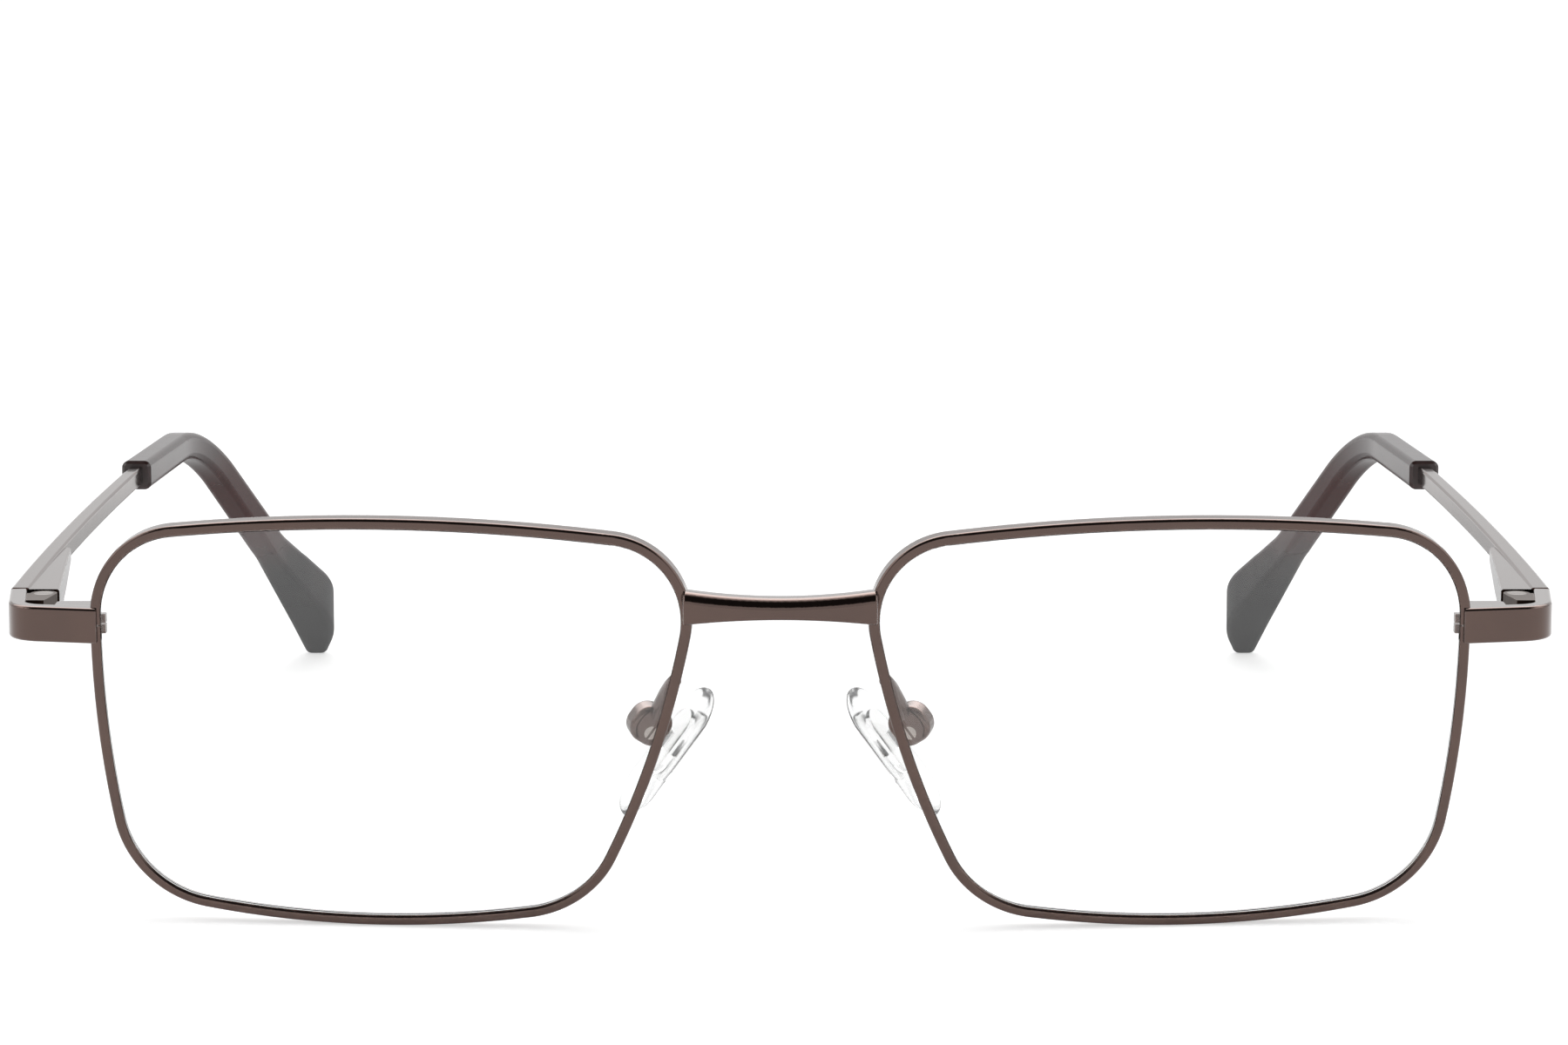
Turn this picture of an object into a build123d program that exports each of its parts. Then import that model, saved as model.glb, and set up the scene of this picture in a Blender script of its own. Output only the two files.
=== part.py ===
"""Rectangular full-rim metal eyeglasses with spring hinges, standing open on rims and tips.

Frame: +X to the right of someone looking at the front, +Y towards the temple tips, +Z up.
Every piece is worked out for the right-hand side and mirrored in the plane X = 0.
"""
from build123d import *
import os
from math import asin, atan2, cos, pi, radians, sin, sqrt, tan

os.makedirs("parts", exist_ok=True)

# Driving sizes of the front, in millimetres and degrees
lens_width = 54.0
lens_height = 37.8
bridge_gap = 17.6
lens_thickness = 1.1
front_curve = 130.0
front_tilt = 6.0
front_wrap = 4.0

# Rim wire: seen from the front it is rim_width broad, and the lens bevel sits in its groove
rim_width = 1.0
rim_depth = 1.7
rim_round = 0.3
bevel_depth = 0.35
bevel_width = 0.5
bevel_set = 0.55
groove_clear = 0.03
lens_set = 0.25
lens_clear = 0.02

# Eye shape: the corners of the sides before rounding, as shares of half the lens size,
# clockwise from the top corner at the nose
corner_shares = ((-1.037, 0.838), (0.999, 0.868), (0.907, -0.885), (-0.645, -0.922))
top_bow = 2.71
side_bow = 1.19
foot_bow = 1.83
nose_bow = 1.78
top_nose_radius = 7.7
top_side_radius = 8.3
foot_side_radius = 9.2
foot_nose_radius = 9.4

# Bridge bar, soldered across the fronts of the rims
bridge_half = 8.85
bridge_height_end = 3.1
bridge_height_middle = 1.95
bridge_depth = 2.0
bridge_lap = 0.7
bridge_bow = 0.8
bridge_level = 11.0
bridge_top_round = 1.0
bridge_foot_round = 0.3
bridge_end_round = 0.25

# End piece: a flat bar from the rim round the corner to the temple
end_height = 3.3
end_thickness = 1.6
end_level = 8.9
end_lap = 0.4
end_reach = 8.32
end_sweep = 1.65
end_radius = 3.7
side_run = 9.1
side_flare = 1.15
end_round = 0.3

# Closing block: two halves on the rim's cut ends, drawn together by the rim screw
block_width = 3.4
block_depth = 2.6
block_height = 3.3
block_round = 0.7
heel_depth = 0.8
heel_lip = 0.8
heel_height = 1.8
rim_slit = 0.12
rim_screw_diameter = 1.1
rim_screw_head = 1.7
rim_screw_head_depth = 0.5
rim_screw_inset = 1.02

# Hinge: a fork on the end piece, an eye on the spring slider, and the screw through both
hinge_height = 2.9
leaf_thickness = 0.9
leaf_clear = 0.05
knuckle_radius = 1.25
knuckle_inset = 1.55
knuckle_back = 1.4
fork_length = 3.75
fork_slope = 0.7
fork_gap = 0.2
hinge_screw_diameter = 1.1
hinge_screw_head = 1.8
hinge_screw_head_depth = 0.45
hinge_bore_clear = 0.04
screw_slot_width = 0.25
screw_slot_depth = 0.2

# Spring slider, its housing and what is inside it
butt_gap = 0.42
housing_width = 2.8
housing_height = 3.0
housing_waist_width = 1.65
housing_waist_height = 2.6
housing_waist_lift = 0.45
housing_box = 11.0
housing_tail = 9.8
housing_tail_width = 0.55
housing_tail_height = 1.5
housing_tail_lift = 1.2
housing_sink = 0.3
housing_bend = 30.0
housing_round = 0.25
pocket_width = 2.0
pocket_height = 1.9
pocket_depth = 1.5
pocket_shift = 0.25
neck_width = 1.2
shoulder_width = 1.8
shoulder_height = 1.7
shoulder_length = 0.55
shoulder_clear = 0.05
shank_diameter = 0.56
chamber_diameter = 1.2
chamber_length = 6.2
chamber_inset = 0.85
bush_length = 0.6
bush_clear = 0.05
spring_outer = 1.06
spring_wire = 0.14
spring_turns = 6
spring_clear = 0.03
nut_length = 0.5
nut_clear = 0.08

# Temple bar, seen from above: a straight start, then a slow curl inwards
temple_thickness = 1.75
temple_thin = 1.4
temple_height = 3.3
temple_slim = 1.9
temple_taper = 24.0
temple_taper_radius = 40.0
temple_rise = 1.7
temple_round = 0.25
bar_run = 63.0
temple_lean = 0.7
temple_curl_radius = 921.0

# Temple tip: a sleeve on the bar, bent down behind the ear, with a broad end
tip_height = 3.1
tip_bend_run = 91.2
tip_bend_radius = 20.0
tip_bend_height = 2.95
tip_drop_angle = 42.6
tip_neck = 3.2
tip_neck_run = 22.0
tip_broad = 4.6
tip_broad_run = 35.0
tip_toe_radius = 1.1
# Seen from above: share of the sleeve's run, shift inwards and width at each station
tip_run_shares = (0, 0.434, 0.74, 0.912, 1.003)
tip_shifts = (0, 2.13, 9.4, 13.6, 13.1)
tip_widths = (3.1, 3.1, 3.2, 5.7, 1.8)
tip_plan_radii = (50.0, 12.0, 7.0)
tip_round = 0.75
tip_bevel = 0.3
core_width = 1.0
core_height = 1.2
core_end_gap = 7.0
core_turn_radius = 50.0

# Nose pad, its insert, its screw and its arm
pad_length = 14.2
pad_foot_radius = 3.0
pad_top_radius = 2.8
pad_thickness = 1.8
pad_round = 0.8
pad_centre_out = 10.6
pad_centre_back = 8.11
pad_centre_level = 15.58
pad_frontal = 36.0
pad_splay = 27.0
pad_seat_up = 1.0
pad_box_gap = 0.35
insert_length = 7.0
insert_width = 3.2
insert_thickness = 0.7
tab_length = 1.8
tab_width = 0.9
tab_clear = 0.05
tab_end_clear = 0.12
box_length = 3.7
box_width = 2.2
box_height = 4.0
box_rise = 0.5
box_round = 1.6
box_edge_round = 0.55
pad_screw_drop = 0.15
pad_screw_diameter = 0.8
pad_screw_head = 1.3
pad_screw_head_depth = 0.35
arm_diameter = 1.3
arm_foot_level = 3.75
arm_foot_behind = 0.2
arm_knee_out = 0.9
arm_knee_back = 1.2
arm_knee_drop = 0.9
arm_elbow_out = 0.4
arm_elbow_back = 1.8
arm_elbow_drop = 1.8

overrun = 2.0

# The curved front: an eye plane, on which x runs to the temple, y runs up and z comes forward
corner_radii = (top_nose_radius, top_side_radius, foot_side_radius, foot_nose_radius)
side_bows = (top_bow, side_bow, foot_bow, nose_bow)
half_width = lens_width / 2
half_height = lens_height / 2
corners = [(across * half_width, up * half_height) for across, up in corner_shares]
rim_outer = rim_width - bevel_depth
tilt = radians(front_tilt)
wrap = radians(front_wrap)
rim_reach = half_height + rim_outer
eye_out = bridge_gap / 2 + half_width
eye_level = rim_reach * cos(tilt) - rim_reach**2 / (2 * front_curve) * sin(tilt)


def side_x(y, upper, lower, bow):
    """Where the side of the eye shape between two corners stands at height y."""
    share = (upper[1] - y) / (upper[1] - lower[1])
    swell = bow * (1 - (2 * share - 1) ** 2)
    chord = upper[0] + share * (lower[0] - upper[0])
    return chord + (swell if chord > 0 else -swell)


def set_back(x, y):
    """How far behind the middle of the eye the curved front lies at x and y."""
    sag = front_curve - sqrt(front_curve**2 - x**2 - y**2)
    return x * sin(wrap) + (sag * cos(tilt) - y * sin(tilt)) * cos(wrap)


# Places from the front to the back, measured from the middle of the eye's front
bridge_x = (bridge_half - eye_out) / cos(wrap)
foot_x = side_x(arm_foot_level, corners[0], corners[3], nose_bow)
side_rim_x = side_x(end_level, corners[1], corners[2], side_bow)
bridge_back = set_back(bridge_x, bridge_level) - bridge_lap
corner_back = set_back(side_rim_x, end_level) - end_lap + end_sweep
split_back = corner_back + side_run
temple_back = split_back + butt_gap
end_z = eye_level + end_level * cos(tilt)
bar_top = end_z + end_height / 2
bar_rise = tan(radians(temple_rise))
tip_level = bar_top + bar_run * bar_rise - temple_slim / 2
drop = radians(tip_drop_angle)
bend_back = temple_back + tip_bend_run
mitre = tip_height / 2 * tan(drop / 2)
toe_run = (tip_level - tip_height / 2 - tip_toe_radius * (1 - cos(drop))) / sin(drop)
toe_back = bend_back - mitre + toe_run * cos(drop) + tip_toe_radius * sin(drop)
overall_front = bridge_back - bridge_bow
overall_back = toe_back + tip_toe_radius
front_y = -(overall_front + overall_back) / 2

eye_plane = Plane(
    origin=(eye_out, front_y, eye_level),
    x_dir=(cos(wrap), sin(wrap), 0),
    z_dir=(sin(wrap) * cos(tilt), -cos(wrap) * cos(tilt), -sin(tilt)),
)
curve_centre = eye_plane.offset(-front_curve).origin


def eye_point(x, y, depth):
    """A place at x and y on the eye plane, depth behind the curved front."""
    sag = front_curve - sqrt(front_curve**2 - x**2 - y**2)
    return eye_plane.from_local_coords(Vector(x, y, -sag - depth))


def eye_block(growth):
    """A block of the eye shape, grown outwards by growth, right through the curved front."""
    with BuildPart() as block:
        with BuildSketch(eye_plane.offset(overrun)) as face:
            with BuildLine():
                for number, bow in enumerate(side_bows):
                    SagittaArc(corners[number], corners[(number + 1) % 4], bow)
            make_face()
            if growth:
                offset(amount=growth, kind=Kind.INTERSECTION)
            for corner, radius in zip(corners, corner_radii):
                fillet(face.vertices().sort_by_distance(Vector(*corner))[0], radius + growth)
        extrude(amount=-(half_width**2 / front_curve + rim_depth + 2 * overrun))
    return block.part


def eye_layer(growth, depth, thickness):
    """The eye shape between two spheres: depth behind the curved front, and thickness deep."""
    with BuildPart() as layer:
        add(eye_block(growth))
        with Locations(curve_centre):
            Sphere(front_curve - depth, mode=Mode.INTERSECT)
            Sphere(front_curve - depth - thickness, mode=Mode.SUBTRACT)
    return layer.part


def slotted_screw(head_plane, diameter, head_diameter, head_depth, length):
    """A screw whose head stands on head_plane's far side, with a straight slot in its top."""
    with BuildPart() as screw:
        with BuildSketch(head_plane):
            Circle(head_diameter / 2)
        extrude(amount=-head_depth)
        with BuildSketch(head_plane.offset(-head_depth)):
            Circle(diameter / 2)
        extrude(amount=-length)
        with BuildSketch(head_plane):
            Rectangle(head_diameter + overrun, screw_slot_width)
        extrude(amount=-screw_slot_depth, mode=Mode.SUBTRACT)
    return screw.part


# Rim: a wire ring of the eye shape, grooved inside and cut through beside the end piece
lens_groove = eye_layer(groove_clear, bevel_set - groove_clear, bevel_width + 2 * groove_clear)
with BuildPart() as rim:
    add(eye_layer(rim_outer, 0, rim_depth))
    add(eye_block(-bevel_depth), mode=Mode.SUBTRACT)
    fillet(rim.faces().filter_by(GeomType.SPHERE).edges(), rim_round)
    add(lens_groove, mode=Mode.SUBTRACT)
    slit_place = eye_point(side_rim_x, end_level, rim_depth / 2)
    with Locations((slit_place.X, slit_place.Y, end_z)):
        Box(rim_width + overrun, rim_depth + 2 * overrun, rim_slit, mode=Mode.SUBTRACT)

# Lens: its edge carries a raised bevel that lies in the groove
with BuildPart() as lens:
    add(eye_layer(-bevel_depth - lens_clear, lens_set, lens_thickness))
    add(eye_layer(0, bevel_set, bevel_width))

# Bridge: a bar that is lower and bowed forward in its middle, lapped over both rims
bridge_rim = eye_point(bridge_x, bridge_level, 0)
bridge_z = bridge_rim.Z
bridge_y = front_y + bridge_back
bridge_end_low = (-bridge_half, bridge_z - bridge_height_end / 2)
bridge_end_high = (-bridge_half, bridge_z + bridge_height_end / 2)
with BuildPart() as bridge:
    with BuildSketch(Plane.XZ.offset(-bridge_y + bridge_bow + overrun)):
        with BuildLine():
            high = ThreePointArc(
                bridge_end_high,
                (0, bridge_z + bridge_height_middle / 2),
                (bridge_half, bridge_end_high[1]),
            )
            low = ThreePointArc(
                (bridge_half, bridge_end_low[1]),
                (0, bridge_z - bridge_height_middle / 2),
                bridge_end_low,
            )
            Line(high @ 1, low @ 0)
            Line(low @ 1, high @ 0)
        make_face()
    extrude(amount=-(bridge_bow + bridge_depth + 2 * overrun))
    with BuildSketch(Plane.XY.offset(bridge_z - bridge_height_end)):
        with BuildLine():
            far = bridge_half + overrun
            front = ThreePointArc((-far, bridge_y), (0, bridge_y - bridge_bow), (far, bridge_y))
            offset(front, amount=bridge_depth, side=Side.LEFT)
        make_face()
    extrude(amount=2 * bridge_height_end, mode=Mode.INTERSECT)
    fillet(bridge.faces().sort_by(Axis.Y)[0].edges().sort_by(Axis.Z)[-1], bridge_top_round)
    fillet(bridge.faces().sort_by(Axis.Y)[0].edges().sort_by(Axis.Z)[0], bridge_foot_round)
    fillet(bridge.faces().filter_by(Axis.X).edges(), bridge_end_round)
    for taken in (rim.part, lens_groove):
        add(taken, mode=Mode.SUBTRACT)
        add(mirror(taken, about=Plane.YZ, mode=Mode.PRIVATE), mode=Mode.SUBTRACT)

# End piece: a flat bar from the rim's front round the corner, ending at the butt joint
side_rim = eye_point(side_rim_x, end_level, 0)
bar_start = Vector(side_rim.X, side_rim.Y - end_lap)
bar_corner = bar_start + Vector(end_reach, end_sweep)
bar_end = bar_corner + Vector(side_flare, side_run)
flare = atan2(side_flare, side_run)
with BuildPart() as end_piece:
    with BuildSketch(Plane.XY.offset(end_z - end_height / 2)):
        with BuildLine():
            outside = FilletPolyline(bar_start, bar_corner, bar_end, radius=end_radius)
            offset(outside, amount=end_thickness, side=Side.LEFT)
        make_face()
    extrude(amount=end_height)
    fillet(end_piece.faces().sort_by(Axis.Z)[-1].edges(), end_round)
    fillet(end_piece.faces().sort_by(Axis.Z)[0].edges(), end_round)
    add(rim.part, mode=Mode.SUBTRACT)
    add(lens_groove, mode=Mode.SUBTRACT)

# Closing block: it fills the corner behind the end piece and holds the rim's cut ends together
block_start = side_rim.X + rim_outer
block_end = block_start + block_width
block_back = bar_start.Y + end_thickness + block_depth
rim_screw_axis = (block_start + block_width / 2, block_back - rim_screw_inset)
rim_back = eye_point(side_rim_x, end_level, rim_depth).Y
heel_start = side_rim.X - heel_lip
with BuildPart() as rim_screw:
    screw_plane = Plane(
        origin=(*rim_screw_axis, end_z - block_height / 2), x_dir=(1, 0, 0), z_dir=(0, 0, -1)
    )
    add(slotted_screw(
        screw_plane, rim_screw_diameter, rim_screw_head, rim_screw_head_depth,
        block_height - 2 * rim_screw_head_depth,
    ))
with BuildPart() as closing_block:
    with BuildSketch(Plane.XY.offset(end_z - block_height / 2)) as block_face:
        with BuildLine():
            Polyline(
                (block_start - rim_width / 2, rim_back - rim_depth / 2),
                (block_start - rim_width / 2, block_back),
                (block_end, block_back),
                (block_end, rim_back - rim_depth / 2),
                close=True,
            )
        make_face()
        fillet(block_face.vertices().sort_by(Axis.X)[-2:].sort_by(Axis.Y)[-1], block_round)
    extrude(amount=block_height)
    with BuildSketch(Plane.XY.offset(end_z - heel_height / 2)):
        with BuildLine():
            Polyline(
                (heel_start, rim_back - rim_round / 2),
                (heel_start, rim_back + heel_depth),
                (block_start, rim_back + heel_depth),
                (block_start, rim_back - rim_round / 2),
                close=True,
            )
        make_face()
    extrude(amount=heel_height)
    add(rim.part, mode=Mode.SUBTRACT)
    add(end_piece.part, mode=Mode.SUBTRACT)
    add(rim_screw.part, mode=Mode.SUBTRACT)
    with Locations((side_rim.X, rim_back, end_z)):
        Box(2 * rim_width, 2 * rim_depth, rim_slit, mode=Mode.SUBTRACT)
with BuildPart() as closing_block_upper:
    add(closing_block.part)
    split(bisect_by=Plane.XY.offset(end_z + rim_slit / 2), keep=Keep.TOP)
with BuildPart() as closing_block_lower:
    add(closing_block.part)
    split(bisect_by=Plane.XY.offset(end_z - rim_slit / 2), keep=Keep.BOTTOM)

# Hinge: the fork's two leaves are fixed to the inside of the end piece
inner_face = bar_end.X - end_thickness / cos(flare) - knuckle_back * tan(flare)
fold_x = inner_face - knuckle_inset
fold_y = bar_end.Y - knuckle_back
slot_height = hinge_height - 2 * leaf_thickness
with BuildPart() as hinge_screw:
    head_plane = Plane(origin=(fold_x, fold_y, end_z + hinge_height / 2))
    add(slotted_screw(
        head_plane, hinge_screw_diameter, hinge_screw_head, hinge_screw_head_depth, hinge_height
    ))
    split(bisect_by=Plane.XY.offset(end_z - hinge_height / 2), keep=Keep.TOP)
with BuildPart() as hinge_fork:
    with BuildSketch(Plane.XY.offset(end_z - hinge_height / 2)):
        with BuildLine():
            Polyline(
                (fold_x - knuckle_radius, fold_y),
                (fold_x - knuckle_radius + fork_slope, fold_y - fork_length),
                (inner_face + end_thickness / 2, fold_y - fork_length),
                (inner_face + end_thickness / 2, fold_y),
                close=True,
            )
        make_face()
        with Locations((fold_x, fold_y)):
            Circle(knuckle_radius)
    extrude(amount=hinge_height)
    with Locations((fold_x, fold_y - knuckle_radius - fork_gap, end_z)):
        Box(
            4 * knuckle_radius + 2 * overrun, 2 * fork_length, slot_height,
            align=(Align.CENTER, Align.MIN, Align.CENTER), mode=Mode.SUBTRACT,
        )
    add(end_piece.part, mode=Mode.SUBTRACT)
    add(hinge_screw.part, mode=Mode.SUBTRACT)

# Temple bar, with the thin core that runs on inside the tip
lean = radians(temple_lean)
temple_y = front_y + temple_back
temple_outside = bar_end.X + butt_gap * tan(lean)
curl_end = asin(sin(lean) + bar_run / temple_curl_radius)
curl_in = temple_curl_radius * (cos(lean) - cos(curl_end))
bar_end_y = temple_y + bar_run
tip_x = temple_outside - curl_in - temple_thin / 2
tip_run = overall_back - temple_back - bar_run
tip_stations = [
    (bar_end_y + share * tip_run, tip_x - shift, width)
    for share, shift, width in zip(tip_run_shares, tip_shifts, tip_widths)
]
tip_path = [(middle_x, back_y) for back_y, middle_x, _ in tip_stations]
bend_y = front_y + bend_back
core_reach = toe_run - core_end_gap
core_start = (tip_x + overrun * tan(curl_end), bar_end_y - overrun)
with BuildPart() as temple_core:
    with BuildSketch():
        with BuildLine():
            middle = FilletPolyline(
                core_start, *tip_path[1:], radius=(core_turn_radius, core_turn_radius, tip_plan_radii[1])
            )
            offset(middle, amount=core_width / 2, side=Side.BOTH)
        make_face()
    extrude(amount=tip_level + tip_height)
    with BuildSketch(Plane.YZ):
        with BuildLine():
            middle = FilletPolyline(
                (bar_end_y - overrun, tip_level),
                (bend_y, tip_level),
                (bend_y + core_reach * cos(drop), tip_level - core_reach * sin(drop)),
                radius=tip_bend_radius,
            )
            offset(middle, amount=core_height / 2, side=Side.BOTH)
        make_face()
    extrude(amount=block_end + end_reach, mode=Mode.INTERSECT)
with BuildPart() as temple_bar:
    with BuildSketch():
        with BuildLine():
            outer = ThreePointArc(
                (temple_outside, temple_y),
                (
                    temple_outside - temple_curl_radius
                    * (cos(lean) - cos((lean + curl_end) / 2)),
                    temple_y + temple_curl_radius * (sin((lean + curl_end) / 2) - sin(lean)),
                ),
                (temple_outside - curl_in, bar_end_y),
            )
            inner_middle = outer @ 0.5 - Vector((temple_thickness + temple_thin) / 2, 0)
            inner = ThreePointArc(
                (temple_outside - curl_in - temple_thin, bar_end_y),
                inner_middle,
                (temple_outside - temple_thickness, temple_y),
            )
            Line(outer @ 1, inner @ 0)
            Line(inner @ 1, outer @ 0)
        make_face()
    extrude(amount=tip_level + tip_height)
    with BuildSketch(Plane.YZ):
        with BuildLine():
            taper_top = bar_top + temple_taper * bar_rise
            end_top = bar_top + bar_run * bar_rise
            under = FilletPolyline(
                (temple_y, bar_top - temple_height),
                (temple_y + temple_taper, taper_top - temple_slim),
                (bar_end_y, end_top - temple_slim),
                radius=temple_taper_radius,
            )
            Polyline(under @ 1, (bar_end_y, end_top), (temple_y, bar_top), under @ 0)
        make_face()
    extrude(amount=temple_outside + overrun, mode=Mode.INTERSECT)
    fillet(temple_bar.edges().filter_by(lambda edge: edge.length > temple_taper), temple_round)
with BuildPart() as temple:
    add(temple_bar.part)
    add(temple_core.part)

# Temple tip: the sleeve's plan and its side view, crossed, then rounded along every edge
low_bend = (bend_y - mitre, tip_level - tip_height / 2)
high_mitre = (tip_bend_height - tip_height / 2) * tan(drop / 2)
high_bend = (bend_y + high_mitre, low_bend[1] + tip_bend_height)


def tip_point(run, up):
    """A place on the bent part of the tip: run down its lower edge, and up from that edge."""
    along = low_bend[0] + run * cos(drop) + up * sin(drop)
    return Vector(along, low_bend[1] - run * sin(drop) + up * cos(drop))


toe = tip_point(toe_run, tip_toe_radius)
broad = tip_point(tip_broad_run, tip_broad)
neck = tip_point(tip_neck_run, tip_neck)
heading = (broad - neck).normalized()
inward = Vector(heading.Y, -heading.X)
gap = broad - toe
end_radius_back = (tip_toe_radius**2 - gap.dot(gap)) / (2 * (gap.dot(inward) + tip_toe_radius))
toe_side = toe - (broad + inward * end_radius_back)
toe_top = toe + toe_side.normalized() * tip_toe_radius
tip_sides = [
    [(middle_x + side * width / 2, back_y) for back_y, middle_x, width in tip_stations]
    for side in (1, -1)
]
with BuildPart() as temple_tip:
    with BuildSketch():
        with BuildLine():
            outer = FilletPolyline(*tip_sides[0], radius=tip_plan_radii)
            inner = FilletPolyline(*tip_sides[1], radius=tip_plan_radii)
            Line(outer @ 0, inner @ 0)
            Line(outer @ 1, inner @ 1)
        make_face()
    extrude(amount=tip_level + tip_height)
    with BuildSketch(Plane.YZ):
        with BuildLine():
            lower = FilletPolyline(
                (bar_end_y, low_bend[1]), low_bend, tip_point(toe_run, 0),
                radius=tip_bend_radius - tip_height / 2,
            )
            upper = FilletPolyline(
                (bar_end_y, tip_level + tip_height / 2), high_bend, neck, broad,
                radius=(tip_bend_radius + tip_height / 2, tip_bend_radius),
            )
            back = TangentArc(broad, toe_top, tangent=heading)
            ThreePointArc(toe_top, toe + Vector(sin(drop / 2), -cos(drop / 2)) * tip_toe_radius, lower @ 1)
            Line(lower @ 0, upper @ 0)
        make_face()
    extrude(amount=block_end + end_reach, mode=Mode.INTERSECT)
    fillet(
        temple_tip.edges().filter_by(
            lambda edge: edge.length > tip_height and edge.center().Y > bar_end_y + tip_bevel
        ),
        tip_round,
    )
    chamfer(temple_tip.faces().sort_by(Axis.Y)[0].edges(), tip_bevel)
    add(temple.part, mode=Mode.SUBTRACT)

# Spring housing: a flat box soldered inside the temple bar, running out in a slim tail
temple_inside = temple_outside - temple_thickness
shank_x = temple_inside - chamber_inset
pocket_x = fold_x + pocket_shift
housing_stations = (
    (0, housing_width, 0, housing_height),
    (housing_box, housing_waist_width, housing_waist_lift, housing_waist_height),
    (housing_box + housing_tail, housing_tail_width, housing_tail_lift, housing_tail_height),
)


def bar_inside(run):
    """Where the inner face of the temple bar stands, a run behind its front end."""
    curl = temple_curl_radius * (cos(lean) - cos(asin(sin(lean) + run / temple_curl_radius)))
    thickness = temple_thickness + (temple_thin - temple_thickness) * run / bar_run
    return temple_outside - curl - thickness


along_y = Plane(origin=(shank_x, temple_y, end_z), x_dir=(1, 0, 0), z_dir=(0, 1, 0))
with BuildPart() as housing:
    with BuildSketch():
        with BuildLine():
            inner_points = [
                (bar_inside(run) - width, temple_y + run) for run, width, _, _ in housing_stations
            ]
            outer_points = [
                (bar_inside(run) + housing_sink, temple_y + run) for run, _, _, _ in housing_stations
            ]
            inner = FilletPolyline(*inner_points, radius=housing_bend)
            Polyline(inner @ 1, *reversed(outer_points), inner @ 0)
        make_face()
    extrude(amount=end_z + 2 * housing_height)
    with BuildSketch(Plane.YZ):
        with BuildLine():
            lows = [
                (temple_y + run, end_z + lift - height / 2)
                for run, _, lift, height in housing_stations
            ]
            highs = [
                (temple_y + run, end_z + lift + height / 2)
                for run, _, lift, height in housing_stations
            ]
            under = FilletPolyline(*lows, radius=housing_bend)
            over = FilletPolyline(*highs, radius=housing_bend)
            Line(under @ 0, over @ 0)
            Line(under @ 1, over @ 1)
        make_face()
    extrude(amount=temple_outside + overrun, mode=Mode.INTERSECT)
    fillet(
        housing.edges().filter_by(
            lambda edge: edge.length > 2 * housing_height
            and edge.center().X < temple_inside - housing_waist_width / 2
        ),
        housing_round,
    )
    with Locations((pocket_x, temple_y, end_z)):
        Box(
            pocket_width, 2 * pocket_depth, pocket_height,
            align=Align.CENTER, mode=Mode.SUBTRACT,
        )
    with BuildSketch(along_y):
        Circle(chamber_diameter / 2)
    extrude(amount=pocket_depth + chamber_length, mode=Mode.SUBTRACT)
    add(temple.part, mode=Mode.SUBTRACT)

# Spring slider: the hinge eye, its neck, a shoulder in the pocket and a shank in the chamber
eye_height = slot_height - 2 * leaf_clear
shoulder_back = temple_y + pocket_depth - shoulder_clear
shank_length = pocket_depth + chamber_length - nut_length / 2
with BuildPart() as slider:
    with BuildSketch(Plane.XY.offset(end_z - eye_height / 2)):
        with Locations((fold_x, fold_y)):
            Circle(knuckle_radius)
            Rectangle(
                neck_width, shoulder_back - fold_y - shoulder_length / 2,
                align=(Align.CENTER, Align.MIN),
            )
    extrude(amount=eye_height)
    with Locations((pocket_x, shoulder_back, end_z)):
        Box(
            shoulder_width, shoulder_length, shoulder_height,
            align=(Align.CENTER, Align.MAX, Align.CENTER),
        )
    with BuildSketch(along_y.offset(pocket_depth - shoulder_length)):
        Circle(shank_diameter / 2)
    extrude(amount=shank_length - pocket_depth + shoulder_length)
    with Locations((fold_x, fold_y, end_z)):
        Cylinder(
            hinge_screw_diameter / 2 + hinge_bore_clear, hinge_height, mode=Mode.SUBTRACT
        )

# Guide bush at the chamber's mouth, and the nut that holds the spring on the shank
with BuildPart() as bush:
    with BuildSketch(along_y.offset(pocket_depth)):
        Circle(chamber_diameter / 2)
        Circle(shank_diameter / 2 + bush_clear, mode=Mode.SUBTRACT)
    extrude(amount=bush_length)
with BuildPart() as nut:
    with BuildSketch(along_y.offset(shank_length - nut_length)):
        Circle(chamber_diameter / 2 - nut_clear)
        Circle(shank_diameter / 2, mode=Mode.SUBTRACT)
    extrude(amount=nut_length)

# Coil spring between bush and nut: quarter turns, each a pair of arcs that meet smoothly
coil_radius = (spring_outer - spring_wire) / 2
coil_start = pocket_depth + bush_length + spring_wire / 2 + spring_clear
coil_length = shank_length - nut_length - spring_wire / 2 - spring_clear - coil_start
quarter_rise = coil_length / (4 * spring_turns)
climb = atan2(quarter_rise, coil_radius * pi / 2)


def coil_point(quarter):
    """The coil's centre line after a number of quarter turns."""
    angle = quarter * pi / 2
    across = Vector(coil_radius * cos(angle), coil_radius * sin(angle), coil_start)
    return along_y.from_local_coords(across + Vector(0, 0, quarter * quarter_rise))


def coil_heading(quarter):
    """The coil's direction after a number of quarter turns."""
    angle = quarter * pi / 2
    flat = Vector(-sin(angle), cos(angle)) * cos(climb) + Vector(0, 0, sin(climb))
    return along_y.from_local_coords(flat) - along_y.origin


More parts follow.
